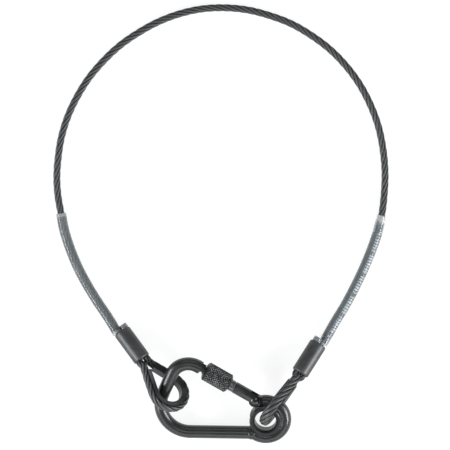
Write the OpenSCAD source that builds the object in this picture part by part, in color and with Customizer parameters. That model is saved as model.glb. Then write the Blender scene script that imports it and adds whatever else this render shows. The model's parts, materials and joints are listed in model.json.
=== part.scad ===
// Wire rope safety cable with thimble eyes, joined into a ring by a screw-lock snap hook.
// Millimetres, +Z up. The cable lies flat, and the origin is on the table below the end fittings.

/* [Rope] */
// Diameter of the wire rope
rope_d = 4.2; // [3.8:0.1:4.4]
// Length of the cut end that stands out of each ferrule
tail_out = 2.4; // [1:0.1:2.8]

/* [Thimbles] */
// Radius of the round hole in each thimble
thimble_hole_r = 7.6; // [7.4:0.1:7.8]
// Thickness of the thimble's sheet under the rope
thimble_sheet = 0.9; // [0.7:0.05:1.1]
// Width of the thimble across its flanges
thimble_w = 6.4; // [6:0.1:6.8]
// Distance from the ferrule to the middle of the thimble's hole
thimble_reach = 25; // [24:0.5:26]

/* [Ferrules] */
// Diameter of the pressed ferrules
ferrule_d = 10.5; // [10.2:0.1:10.8]
// Length of the pressed ferrules
ferrule_l = 21; // [18:0.5:22]
// Rounding of the ferrules' ends
ferrule_edge = 1; // [0.4:0.1:1.4]

/* [Sleeves] */
// Outer diameter of the clear sleeves
sleeve_d = 6.06; // [6:0.02:6.4]
// Wall of the clear sleeves
sleeve_wall = 0.3; // [0.2:0.02:0.32]
// Thickness of the marking label
label_wall = 0.25; // [0.15:0.02:0.25]

/* [Hook] */
// Diameter of the hook's rod
rod_d = 7.8; // [7.4:0.1:8]
// Distance from the eye's middle to the middle of the wide bend
hook_l = 45.1; // [43:0.1:47]
// Drop of the straight bar below the eye's middle
bar_drop = 8.8; // [8.6:0.1:9.4]
// Radius of the wide bend, on the rod's middle
bow_r = 17.4; // [16.8:0.1:18]
// Radius of the tip bend, on the rod's middle
tip_r = 10.8; // [10:0.1:11.4]
// Heading of the back, between the two bends
back_heading = 66.6; // [65:0.2:68]
// Slope of the gate
gate_slope = 31; // [30:0.2:32]
// Length of the nose past the tip bend
nose_l = 1.8; // [1.4:0.1:2.2]
// Lean of the hook, which rests on the table and on the two thimbles
hook_lean = 18; // [17.6:0.1:18.6]

/* [Eye bush] */
// Hole of the bush in the hook's eye
bush_hole_d = 12.6; // [12:0.1:13]
// Wall of the bush at its waist
bush_wall = 1.15; // [0.9:0.05:1.3]
// Height of the bush over its flanges
bush_h = 9.2; // [8.8:0.1:9.4]
// Depth of the bush's flanges past its waist
bush_flange = 1.8; // [1.2:0.1:1.9]

/* [Gate] */
// Diameter of the gate's shank and thread
gate_d = 7.3; // [7:0.1:7.5]
// Diameter of the turned tips of the gate and of the nose
gate_tip_d = 6; // [5.6:0.1:6.4]
// Distance of the gate's pivot from the eye's middle
pivot_r = 14; // [13.8:0.1:14.4]
// Angle of the gate's pivot round the eye
pivot_angle = 114.6; // [113:0.2:116]
// Diameter of the hinge rivet
rivet_d = 3; // [2.6:0.1:3.2]
// Diameter of the rivet's heads
rivet_head_d = 4.8; // [4.2:0.1:5.2]
// Thickness of the hook's flat tongue in the gate's fork
tongue_t = 3.2; // [2.8:0.1:3.4]
// Diameter of the latch pin
latch_pin_d = 1.2; // [1:0.1:1.3]
// Diameter of the plunger that presses on the tongue
plunger_d = 3; // [2.6:0.1:3.2]
// Length of the plunger
plunger_l = 6; // [5:0.2:7]
// Length of the spring behind the plunger
spring_l = 7; // [6:0.2:8]
// Wire of the spring
spring_wire = 0.45; // [0.35:0.01:0.5]

/* [Lock nut] */
// Diameter of the knurled nut
nut_d = 11.8; // [11:0.1:12.2]
// Length of the knurled nut
nut_l = 16.4; // [15:0.1:17]
// Chamfer of the nut's ends
nut_chamfer = 0.9; // [0.6:0.1:1.2]
// Thread left bare behind the nut
thread_bare = 3.6; // [3.4:0.1:4.4]

/* [Hidden] */
$fn = 48;

// Clearances: in a groove or bore, in a running fit, between moving faces
groove_gap = 0.1;
run_gap = 0.05;
face_gap = 0.3;
// Overlap that fuses two shapes of one solid
fuse = 0.05;

rope_r = rope_d / 2;
rope_sides = 10;
sleeve_sides = 12;
rod_r = rod_d / 2;

// The rope's free stretch from the left sleeve's mouth round to the right one, chosen by hand
ring_route = [
    [-98.2, 80], [-98.8, 90], [-98.2, 100.4], [-96.2, 113.8], [-92.3, 126.7], [-86.6, 138.8],
    [-79.4, 150.2], [-70.7, 160.4], [-60.8, 169.6], [-49.8, 177.2], [-37.9, 183.7], [-25.1, 188.5],
    [-11.8, 191.4], [1.9, 192.1], [15.7, 190.8], [29, 187.4], [41.9, 182.5], [53.8, 175.6],
    [64.9, 167.3], [74.6, 157.4], [82.8, 146.3], [89.3, 134], [94.1, 121], [96.9, 107.4],
    [98.1, 93.6], [97.6, 80]
];
// Middle of the hook's eye
eye_at = [26.3, -53.9];
// The left thimble hangs in the wide bend, so its end keeps a set place beside it
left_offset = [-28.4, 35.6];
left_at = [eye_at[0] - hook_l + left_offset[0], eye_at[1] + left_offset[1]];

// The rope under each sleeve, from its mouth to its end by the ferrule
// The left one is given from the left end, and goes along with it
left_sleeve_offsets = [
    [-49, 87], [-47, 76.7], [-43.4, 65.5], [-39, 54.9],
    [-33.4, 44.3], [-27.4, 34.5], [-21.4, 25.7], [-16.9, 18.6]
];
left_sleeve_route = [for (p = left_sleeve_offsets) left_at + p];
right_sleeve_route = [
    [96, 67.4], [93.3, 56.5], [89.6, 46], [85, 35],
    [79.6, 23.8], [73.8, 13], [67.8, 3.2], [62.4, -6.3]
];

// Each end: middle of the ferrule's thimble end, headings of ferrule and eye, pitch, rolls of ferrule and eye
left_end = [[left_at[0], left_at[1], 8.4], -53, -50, 9.2, -12, -40];
right_end = [[46.7, -26.6, 8.6], 237, 232.5, 9.5, 145, 99];

function unit(v) = v / norm(v);
function turned(v, a) = [v[0] * cos(a) - v[1] * sin(a), v[0] * sin(a) + v[1] * cos(a), v[2]];
function rolled(v, a) = [v[0], v[1] * cos(a) - v[2] * sin(a), v[1] * sin(a) + v[2] * cos(a)];
function pitched(v, a) = [v[0] * cos(a) - v[2] * sin(a), v[1], v[0] * sin(a) + v[2] * cos(a)];
// Carries a point of a ferrule or an eye into place: roll, then pitch, then heading
function placed(v, at, heading, pitch, roll) = at + turned(pitched(rolled(v, roll), pitch), heading);

function flat_route(points, z) = [for (p = points) [p[0], p[1], z]];
// A sleeve lies on the table, and its last stretch rises to the ferrule's bore
left_lift = 1.9;
right_lift = 0.5;
lift_from = 4;
function sleeve_path(route, lift) = [
    for (i = [0:len(route) - 1])
        let (u = max(0, i - lift_from) / (len(route) - 1 - lift_from))
        [route[i][0], route[i][1], sleeve_d / 2 + lift * u * u]
];

function tangent(path, i) =
    unit(path[min(i + 1, len(path) - 1)] - path[max(i - 1, 0)]);

// One ring of a sweep: the points round a path point, square to the path
function ring(path, i, r, sides, ref) =
    let (t = tangent(path, i), a = unit(cross(t, ref)), b = cross(a, t))
    [for (k = [0:sides - 1]) path[i] + r * (cos(360 * k / sides) * a + sin(360 * k / sides) * b)];

function flatten(lists) = [for (l = lists) for (v = l) v];

// Side faces between the rings first to last, as triangles
function skin(count, sides, base, flip) = [
    for (i = [0:count - 2], k = [0:sides - 1], half = [0:1])
        let (
            a = base + i * sides + k,
            b = base + i * sides + (k + 1) % sides,
            tri = half == 0 ? [a, b, b + sides] : [a, b + sides, a + sides]
        )
        flip ? [tri[2], tri[1], tri[0]] : tri
];

module swept_rod(path, r, sides, ref) {
    count = len(path);
    points = flatten([for (i = [0:count - 1]) ring(path, i, r, sides, ref)]);
    start_cap = [for (k = [1:sides - 2]) [0, k + 1, k]];
    last = (count - 1) * sides;
    end_cap = [for (k = [1:sides - 2]) [last, last + k, last + k + 1]];
    polyhedron(points, concat(skin(count, sides, 0, false), start_cap, end_cap));
}

module swept_tube(path, outer_r, inner_r, sides, ref) {
    count = len(path);
    outer = flatten([for (i = [0:count - 1]) ring(path, i, outer_r, sides, ref)]);
    inner = flatten([for (i = [0:count - 1]) ring(path, i, inner_r, sides, ref)]);
    size = count * sides;
    last = (count - 1) * sides;
    mouth = [
        for (k = [0:sides - 1], half = [0:1])
            let (n = (k + 1) % sides)
            half == 0 ? [k, size + k, size + n] : [k, size + n, n]
    ];
    far = [
        for (k = [0:sides - 1], half = [0:1])
            let (n = (k + 1) % sides, a = last + k, b = last + n)
            half == 0 ? [a, size + b, size + a] : [a, b, size + b]
    ];
    polyhedron(
        concat(outer, inner),
        concat(skin(count, sides, 0, false), skin(count, sides, size, true), mouth, far)
    );
}

// Rope ends: two bores side by side in the ferrule, and a loop with tangent legs round the thimble
bore_r = rope_r + run_gap;
bore_web = 0.5;
leg_y = bore_r + bore_web / 2;
loop_r = thimble_hole_r + thimble_sheet + groove_gap + rope_r;
leg_start = 3.5;
mouth_out = 1;
leg_span = thimble_reach - leg_start;
leg_angle = asin(loop_r / norm([leg_span, leg_y])) - atan2(leg_y, leg_span);
leg_l = sqrt(leg_span * leg_span + leg_y * leg_y - loop_r * loop_r);

function ferrule_point(end, v) = placed(v, end[0], end[1], end[3], end[4]);
function loop_point(end, v) = placed(v, end[0], end[2], end[3], end[5]);

// A point on a leg, as a part of its length from the ferrule, with side -1 or 1
function leg_point(u, side) =
    [leg_start + u * leg_l * cos(leg_angle), side * (leg_y + u * leg_l * sin(leg_angle)), 0];

// Middle line of an eye, from the ferrule's outer end round the thimble to the cut tail
arc_steps = 20;
function eye_path(end) = concat(
    [for (x = [-ferrule_l, -ferrule_l / 2, 0, mouth_out]) ferrule_point(end, [x, -leg_y, 0])],
    [for (u = [0, 0.5]) loop_point(end, leg_point(u, -1))],
    [
        for (i = [0:arc_steps])
            let (a = -90 - leg_angle + (180 + 2 * leg_angle) * i / arc_steps)
            loop_point(end, [thimble_reach + loop_r * cos(a), loop_r * sin(a), 0])
    ],
    [for (u = [0.5, 0]) loop_point(end, leg_point(u, 1))],
    [for (x = [mouth_out, 0, -ferrule_l / 2, -ferrule_l - tail_out]) ferrule_point(end, [x, leg_y, 0])]
);
function loop_normal(end) = loop_point(end, [0, 0, 1]) - end[0];

// The free stretch leaves each ferrule straight, then runs under the sleeve
straight_out = 1.2;
function rope_out(end) = [
    for (x = [-ferrule_l - straight_out, -ferrule_l]) ferrule_point(end, [x, -leg_y, 0])
];
function reversed(l) = [for (i = [len(l) - 1:-1:0]) l[i]];

rope_path = concat(
    reversed(rope_out(left_end)),
    reversed(sleeve_path(left_sleeve_route, left_lift)),
    flat_route(ring_route, rope_r),
    sleeve_path(right_sleeve_route, right_lift),
    rope_out(right_end)
);

sleeve_in_r = sleeve_d / 2 - sleeve_wall;
label_out_r = sleeve_in_r * cos(180 / sleeve_sides) - groove_gap;
label_in_r = label_out_r - label_wall;

module wire_rope() {
    color("#2b2b2c") swept_rod(rope_path, rope_r, rope_sides, [0, 0, 1]);
}

module rope_eye(end) {
    color("#2b2b2c") swept_rod(eye_path(end), rope_r, rope_sides, loop_normal(end));
}

module left_rope_eye() { rope_eye(left_end); }
module right_rope_eye() { rope_eye(right_end); }

module at_ferrule(end) {
    translate(end[0]) rotate([end[4], -end[3], end[1]]) children();
}

module at_loop(end) {
    translate(end[0]) rotate([end[5], -end[3], end[2]]) children();
}

// Section of the thimble's channel: x points out of the eye, with the rope's middle at 0
groove_r = rope_r + groove_gap;
channel_floor = groove_r + thimble_sheet;
flange_lip = 0.75;
module channel_section(trim) {
    r = groove_r + trim;
    half_w = thimble_w / 2 - trim;
    inner_w = thimble_w / 2 - flange_lip + trim;
    floor_x = trim - channel_floor;
    bend = [thimble_sheet - channel_floor, half_w - flange_lip];
    top_x = -groove_gap - trim;
    difference() {
        polygon([
            [floor_x, -groove_r], [floor_x, groove_r], bend, [top_x, half_w],
            [top_x, -half_w], [bend[0], -bend[1]]
        ]);
        circle(r);
        polygon([
            [-r / 2, r * sin(60)], [fuse, inner_w],
            [fuse, -inner_w], [-r / 2, -r * sin(60)]
        ]);
    }
}

// The legs start where the two channels meet, and end inside the arc, so they are a trace slimmer than it
thimble_tip = 0.2;
leg_trim = 0.04;
leg_into_arc = 0.4;
module thimble_leg() {
    translate(leg_point(thimble_tip, 1)) rotate([0, 0, 90 + leg_angle]) rotate([90, 0, 0])
        linear_extrude(leg_l * (1 - thimble_tip) + leg_into_arc) channel_section(leg_trim);
}

module thimble(end) {
    color("#3a3a3b") at_loop(end) union() {
        translate([thimble_reach, 0, 0]) rotate([0, 0, -90 - leg_angle])
            rotate_extrude(angle = 180 + 2 * leg_angle) translate([loop_r, 0]) channel_section(0);
        thimble_leg();
        mirror([0, 1, 0]) thimble_leg();
    }
}

module left_thimble() { thimble(left_end); }
module right_thimble() { thimble(right_end); }

module ferrule(end) {
    r = ferrule_d / 2;
    color("#39393a") at_ferrule(end) difference() {
        rotate([0, -90, 0]) rotate_extrude() union() {
            square([r - ferrule_edge, ferrule_l]);
            translate([0, ferrule_edge]) square([r, ferrule_l - 2 * ferrule_edge]);
            for (y = [ferrule_edge, ferrule_l - ferrule_edge])
                translate([r - ferrule_edge, y]) circle(ferrule_edge);
        }
        for (side = [-1, 1]) translate([fuse, side * leg_y, 0]) rotate([0, -90, 0])
            cylinder(h = ferrule_l + 2 * fuse, r = bore_r);
    }
}

module left_ferrule() { ferrule(left_end); }
module right_ferrule() { ferrule(right_end); }

// Each tube ends close to its ferrule, pushed aside there by the rope's cut tail
tube_gap = 0.8;
tube_shift = 0.55;
function tube_path(route, lift, end) =
    concat(sleeve_path(route, lift), [ferrule_point(end, [-ferrule_l - tube_gap, -leg_y - tube_shift, 0])]);

module clear_tube(path) {
    color("#8f9a9a") swept_tube(path, sleeve_d / 2, sleeve_in_r, sleeve_sides, [0, 0, 1]);
}

module left_clear_tube() { clear_tube(tube_path(left_sleeve_route, left_lift, left_end)); }
module right_clear_tube() { clear_tube(tube_path(right_sleeve_route, right_lift, right_end)); }

// The label leaves the first and last stretch of the sleeve bare
label_path = [for (i = [1:len(right_sleeve_route) - 2]) sleeve_path(right_sleeve_route, right_lift)[i]];
module marking_label() {
    color("#4a4c4d")
        swept_tube(label_path, label_out_r, label_in_r, sleeve_sides, [0, 0, 1]);
}

// Hook plan: x along the bar away from the bow, the eye's middle at the origin
lean_axis_heading = -10;
bush_waist_r = bush_hole_d / 2 + bush_wall;
eye_line_r = bush_waist_r + groove_gap + rod_r;
bow_c = [-hook_l, bow_r - bar_drop];
bow_turn = 180 - back_heading;
bow_end = bow_c + bow_r * [cos(90 + back_heading), sin(90 + back_heading)];
back_dir = [cos(back_heading), sin(back_heading)];
gate_dir = [cos(-gate_slope), sin(-gate_slope)];
tip_turn = back_heading + gate_slope;
tip_shift = tip_r * ([sin(back_heading), -cos(back_heading)] + [sin(gate_slope), cos(gate_slope)]);
pivot = pivot_r * [cos(pivot_angle), sin(pivot_angle)];

// The back's length and the gate's reach close the hook between the bow and the pivot
function cross2(a, b) = a[0] * b[1] - a[1] * b[0];
to_pivot = pivot - bow_end - tip_shift;
back_l = cross2(to_pivot, gate_dir) / cross2(back_dir, gate_dir);
gate_reach = cross2(back_dir, to_pivot) / cross2(back_dir, gate_dir);
back_end = bow_end + back_l * back_dir;
tip_c = back_end + tip_r * [sin(back_heading), -cos(back_heading)];
tip_end = tip_c + tip_r * [sin(gate_slope), cos(gate_slope)];

// The bow's lowest point touches the table
lean_up = [-sin(lean_axis_heading), cos(lean_axis_heading)];
bow_low = bow_r - (bow_c[0] * lean_up[0] + bow_c[1] * lean_up[1]);
eye_z = rod_r + bow_low * sin(hook_lean);

module at_hook() {
    translate([eye_at[0], eye_at[1], eye_z])
        rotate([0, 0, lean_axis_heading]) rotate([hook_lean, 0, 0]) rotate([0, 0, -lean_axis_heading])
            children();
}

// Gate frame: x runs from the pivot to the nose, z is the hinge axis
module at_gate() {
    at_hook() translate([pivot[0], pivot[1], 0]) rotate([0, 0, 180 - gate_slope]) children();
}

module bent_rod(c, r, from, turn) {
    translate([c[0], c[1], 0]) rotate([0, 0, from])
        rotate_extrude(angle = turn) translate([r, 0]) circle(rod_r);
}

// A straight stops just short of the bends, inside the short collars that join them
joint_short = 0.2;
collar_r = rod_r + 0.05;
collar_l = 1;
module straight_rod(from, to, short_end = joint_short) {
    v = to - from;
    translate([from[0], from[1], 0]) rotate([0, 90, atan2(v[1], v[0])]) translate([0, 0, joint_short])
        cylinder(h = norm(v) - joint_short - short_end, r = rod_r);
}

module joint_collar(at, heading) {
    translate([at[0], at[1], 0]) rotate([0, 90, heading]) translate([0, 0, -collar_l / 2])
        cylinder(h = collar_l, r = collar_r);
}

// The bar ends in a weld bead, and the eye's arc runs from there under, right and over to the tongue
bead_r = rod_r + 0.4;
bead_gap = groove_gap + face_gap;
bead_turn = 68;
bead_x = sqrt(pow(bush_waist_r + bead_gap + bead_r, 2) - bar_drop * bar_drop);
bar_end = [-bead_x, -bar_drop];
eye_from = atan2(-bar_drop, -bead_x);
fork_r = gate_d / 2;
eye_to = pivot_angle - asin((fork_r + 2 * face_gap) / pivot_r);

// The tongue is a cam, set off from the pivot so that opening the gate drives the plunger back
cam_offset = 1.2;
cam_r = fork_r - face_gap / 2;
cam_closed = sqrt(cam_r * cam_r - cam_offset * cam_offset);
cam_heading = 270 - gate_slope;
cam_c = pivot + cam_offset * [cos(cam_heading), sin(cam_heading)];
tongue_half_w = 3.2;
tongue_root = 8;

// Places along the gate, from the pivot
nose_at = gate_reach - nose_l;
tip_gap = 0.35;
gate_tip_at = nose_at - tip_gap;
claw_l = 2.6;
// Room for the nut's rim to swing past the nose
nut_clear = 0.7;
claw_at = nose_at - claw_l;
pin_at = nose_at - claw_l / 2;
nut_mouth_at = claw_at - nut_clear;
nut_back_at = nut_mouth_at - nut_l;
thread_from = nut_back_at - thread_bare;
slot_t = tongue_t + 2 * groove_gap;
blade_t = 2;
blade_half_w = 1.9;
blade_root = 1;
blade_slot_t = blade_t + 2 * groove_gap;
pin_r = latch_pin_d / 2;
notch_r = pin_r + 2 * groove_gap;
// The thread stands a little above the shank and ends just inside the nut's mouth
thread_rise = 0.15;
thread_to = nut_mouth_at - 0.6;
shank_r = gate_d / 2 - thread_rise;

// Claw on the nose: turned down, slotted for the gate's blade, with a pin notch open to the hook's inside
module nose_claw() {
    difference() {
        translate([claw_at, 0, 0]) rotate([0, 90, 0]) cylinder(h = claw_l + fuse, r = gate_tip_d / 2);
        translate([claw_at - fuse, -gate_d, -blade_slot_t / 2])
            cube([claw_l + fuse, 2 * gate_d, blade_slot_t]);
        translate([pin_at, 0, -gate_d]) cylinder(h = 2 * gate_d, r = notch_r);
        translate([pin_at - notch_r, 0, -gate_d]) cube([2 * notch_r, gate_d, 2 * gate_d]);
    }
}

module hook_body() {
    color("#333334") at_hook() difference() {
        union() {
            straight_rod([bow_c[0], -bar_drop], bar_end);
            joint_collar([bow_c[0], -bar_drop], 0);
            bent_rod(bow_c, bow_r, 90 + back_heading, bow_turn);
            joint_collar(bow_end, back_heading);
            straight_rod(bow_end, back_end);
            joint_collar(back_end, back_heading);
            bent_rod(tip_c, tip_r, 90 - gate_slope, tip_turn);
            joint_collar(tip_end, -gate_slope);
            straight_rod(tip_end, tip_end + nose_l * gate_dir, 0);
            translate([bar_end[0], bar_end[1], 0]) rotate([0, 0, bead_turn]) sphere(bead_r);
            bent_rod([0, 0], eye_line_r, eye_from, eye_to - eye_from);
            translate([0, 0, -tongue_t / 2]) tongue_plate();
            translate([pivot[0], pivot[1], 0]) rotate([0, 0, 180 - gate_slope]) nose_claw();
        }
        translate([pivot[0], pivot[1], -rod_d]) cylinder(h = 2 * rod_d, r = rivet_d / 2 + run_gap);
    }
}

module tongue_plate() {
    root = eye_to - tongue_root;
    from = eye_line_r * [cos(root), sin(root)];
    v = cam_c - from;
    translate([from[0], from[1], 0]) rotate([0, 0, atan2(v[1], v[0])]) translate([0, -tongue_half_w, 0])
        cube([norm(v), 2 * tongue_half_w, tongue_t]);
    translate([cam_c[0], cam_c[1], 0]) cylinder(h = tongue_t, r = cam_r);
}

module eye_ring() {
    hole_r = bush_hole_d / 2;
    half_h = bush_h / 2;
    waist_h = rod_r * 0.3;
    flange_h = rod_r * 0.9;
    seat = rod_r + groove_gap;
    seat_points = [
        for (z = [waist_h, (waist_h + flange_h) / 2, flange_h])
            [eye_line_r - sqrt(seat * seat - z * z), z]
    ];
    flange_r = bush_waist_r + bush_flange;
    edge = 0.5;
    flare = 1;
    upper = concat(
        seat_points,
        [[flange_r, flange_h + groove_gap], [flange_r, half_h - edge], [flange_r - edge, half_h]],
        [[hole_r + flare, half_h], [hole_r + flare / 3, half_h - flare], [hole_r, half_h - 2 * flare]]
    );
    lower = [for (i = [len(upper) - 1:-1:0]) [upper[i][0], -upper[i][1]]];
    color("#303031") at_hook() rotate_extrude() polygon(concat([[bush_waist_r, 0]], upper, lower));
}

// Gate along its own axis, forked at the pivot, bored for the spring, with a blade for the nose's slot
slot_floor = cam_r + cam_offset;
plunger_at = cam_closed + groove_gap;
bore_end = plunger_at + plunger_l + spring_l + groove_gap;
module gate() {
    color("#3c3c3d") at_gate() difference() {
        union() {
            rotate([0, 90, 0]) cylinder(h = thread_from + fuse, r = shank_r);
            translate([thread_from, 0, 0]) rotate([0, 90, 0])
                cylinder(h = thread_to - thread_from, r = gate_d / 2);
            rotate([0, 90, 0]) cylinder(h = claw_at - face_gap, r = gate_tip_d / 2);
            translate([claw_at - blade_root, -blade_half_w, -blade_t / 2])
                cube([gate_tip_at - claw_at + blade_root, 2 * blade_half_w, blade_t]);
            fork_end();
        }
        translate([-gate_d, -gate_d, -slot_t / 2]) cube([gate_d + slot_floor, 2 * gate_d, slot_t]);
        rotate([0, 90, 0]) cylinder(h = bore_end, r = plunger_d / 2 + run_gap);
        translate([0, 0, -gate_d]) cylinder(h = 2 * gate_d, r = rivet_d / 2);
        for (side = [-1, 1]) translate([0, 0, side * (fork_half_t + gate_d / 2)])
            cube([4 * fork_r, 4 * fork_r, gate_d], center = true);
        translate([pin_at, 0, -gate_d]) cylinder(h = 2 * gate_d, r = pin_r);
    }
}

fork_half_t = gate_d * 0.45;
module fork_end() {
    intersection() {
        translate([0, 0, -gate_d / 2]) cylinder(h = gate_d, r = fork_r);
        translate([-gate_d, 0, 0]) rotate([0, 90, 0]) cylinder(h = 2 * gate_d, r = shank_r);
    }
}

module gate_rivet() {
    head_t = 0.5;
    color("#8a8a8c") at_gate() union() {
        translate([0, 0, -fork_half_t - fuse]) cylinder(h = 2 * (fork_half_t + fuse), r = rivet_d / 2);
        for (side = [0, 1]) mirror([0, 0, side]) translate([0, 0, fork_half_t])
            cylinder(h = head_t, r1 = rivet_head_d / 2, r2 = rivet_head_d / 2 - head_t);
    }
}

module latch_pin() {
    half = sqrt(gate_tip_d * gate_tip_d / 4 - pin_r * pin_r);
    color("#8a8a8c") at_gate() translate([pin_at, 0, -half]) cylinder(h = 2 * half, r = pin_r);
}

module gate_plunger() {
    r = plunger_d / 2;
    color("#9a9a9c") at_gate() translate([plunger_at, 0, 0]) union() {
        translate([r, 0, 0]) sphere(r);
        translate([r, 0, 0]) rotate([0, 90, 0]) cylinder(h = plunger_l - r, r = r);
    }
}

spring_turns = 8;
spring_rings = 8;
module gate_spring() {
    coil_r = plunger_d / 2 - spring_wire / 2 - groove_gap;
    run = spring_l - spring_wire - groove_gap;
    from = plunger_at + plunger_l + spring_wire / 2 + groove_gap;
    path = [
        for (i = [0:spring_turns * spring_rings])
            let (a = 360 * i / spring_rings)
            [from + run * i / (spring_turns * spring_rings), coil_r * cos(a), coil_r * sin(a)]
    ];
    color("#b8b8ba") at_gate() swept_rod(path, spring_wire / 2, 6, [1, 0, 0]);
}

module lock_nut() {
    r = nut_d / 2;
    color("#303031") at_gate() translate([nut_back_at, 0, 0]) rotate([0, 90, 0]) difference() {
        union() {
            translate([0, 0, nut_chamfer]) cylinder(h = nut_l - 2 * nut_chamfer, r = r);
            cylinder(h = nut_chamfer + fuse, r1 = r - nut_chamfer, r2 = r);
            translate([0, 0, nut_l - nut_chamfer - fuse])
                cylinder(h = nut_chamfer + fuse, r1 = r, r2 = r - nut_chamfer);
        }
        translate([0, 0, -fuse]) cylinder(h = nut_l + 2 * fuse, r = gate_d / 2 + run_gap);
    }
}

wire_rope();
left_rope_eye();
right_rope_eye();
left_thimble();
right_thimble();
left_ferrule();
right_ferrule();
left_clear_tube();
right_clear_tube();
marking_label();
hook_body();
eye_ring();
gate();
gate_rivet();
latch_pin();
gate_plunger();
gate_spring();
lock_nut();
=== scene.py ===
import json
import math

import bpy
from mathutils import Matrix, Vector


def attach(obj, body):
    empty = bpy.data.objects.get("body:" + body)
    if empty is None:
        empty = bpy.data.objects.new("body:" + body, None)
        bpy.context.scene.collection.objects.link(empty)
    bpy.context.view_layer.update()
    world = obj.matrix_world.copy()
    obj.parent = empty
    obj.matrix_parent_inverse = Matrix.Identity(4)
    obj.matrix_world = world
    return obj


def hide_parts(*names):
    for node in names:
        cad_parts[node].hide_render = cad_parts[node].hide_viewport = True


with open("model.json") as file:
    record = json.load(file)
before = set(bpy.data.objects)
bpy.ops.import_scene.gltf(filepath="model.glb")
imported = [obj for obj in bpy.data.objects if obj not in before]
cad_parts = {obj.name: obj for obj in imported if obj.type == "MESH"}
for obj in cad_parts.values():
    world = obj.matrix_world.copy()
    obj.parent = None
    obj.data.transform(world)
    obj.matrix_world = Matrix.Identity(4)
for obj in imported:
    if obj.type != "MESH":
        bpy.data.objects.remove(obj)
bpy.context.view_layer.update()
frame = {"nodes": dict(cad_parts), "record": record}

mm = 0.001
bpy.ops.object.select_all(action="DESELECT")

# camera straight above the cable, as in the photo
cameraLook = {"lens": 150, "sensor": 36, "frameWidth": 0.27, "aim": (0.0021, 0.0618, 0.0021), "far": 20}
cameraHeight = cameraLook["frameWidth"] * cameraLook["lens"] / cameraLook["sensor"]
cameraAim = Vector(cameraLook["aim"])
bpy.ops.object.camera_add(location=cameraAim + Vector((0, 0, cameraHeight)), rotation=(0, 0, 0))
camera = bpy.context.object
camera.data.lens = cameraLook["lens"]
camera.data.sensor_width = cameraLook["sensor"]
camera.data.clip_end = cameraLook["far"]
bpy.context.scene.camera = camera
bpy.context.scene.view_settings.view_transform = "Standard"
print("camera set")

coolCast = (1, 1.01, 1.03)
black, white = (0, 0, 0), (1, 1, 1)
peelHeight, grainHeight = 0.0002, 0.0001  # of the bumps, in metres


def newFinish(name):
    material = bpy.data.materials.new(name)
    material.use_nodes = True
    tree = material.node_tree
    return material, tree, tree.nodes["Principled BSDF"]


def addNode(tree, kind, inputs=None, **settings):
    node = tree.nodes.new(kind)
    for key, value in settings.items():
        setattr(node, key, value)
    for key, value in (inputs or {}).items():
        if isinstance(value, bpy.types.NodeSocket):
            tree.links.new(value, node.inputs[key])
        else:
            node.inputs[key].default_value = value
    return node


def objectPlace(tree, stretch=(1, 1, 1), turn=0):
    place = addNode(tree, "ShaderNodeTexCoord").outputs["Object"]
    inputs = {"Vector": place, "Rotation": (0, 0, math.radians(turn)), "Scale": stretch}
    return addNode(tree, "ShaderNodeMapping", inputs).outputs["Vector"]


def speckle(tree, place, scale, detail=4.0, roughness=0.55):
    inputs = {"Vector": place, "Scale": scale, "Detail": detail, "Roughness": roughness}
    return addNode(tree, "ShaderNodeTexNoise", inputs).outputs["Fac"]


def ramp(tree, value, stops):
    node = addNode(tree, "ShaderNodeValToRGB", {"Fac": value})
    while len(node.color_ramp.elements) < len(stops):
        node.color_ramp.elements.new(0.5)
    for element, (at, colour) in zip(node.color_ramp.elements, stops):
        element.position = at
        element.color = (*colour, 1)
    return node.outputs["Color"]


def twoTone(tree, value, span, first, second):
    return ramp(tree, value, list(zip(span, (first, second))))


def grey(value):
    return tuple(value * part for part in coolCast)


def spread(tree, value, low, high, fromLow=0.3, fromHigh=0.7):
    inputs = {"Value": value, "From Min": fromLow, "From Max": fromHigh, "To Min": low, "To Max": high}
    return addNode(tree, "ShaderNodeMapRange", inputs).outputs["Result"]


def mixColour(tree, factor, first, second):
    node = tree.nodes.new("ShaderNodeMix")
    node.data_type = "RGBA"
    factorIn, firstIn, secondIn = node.inputs[0], node.inputs[6], node.inputs[7]  # the colour sockets
    tree.links.new(factor, factorIn)
    tree.links.new(first, firstIn)
    secondIn.default_value = (*second, 1)
    return node.outputs[2]


def bumpFrom(tree, shader, height, strength, distance):
    bump = addNode(tree, "ShaderNodeBump", {"Height": height, "Strength": strength, "Distance": distance})
    tree.links.new(bump.outputs["Normal"], shader.inputs["Normal"])


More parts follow.
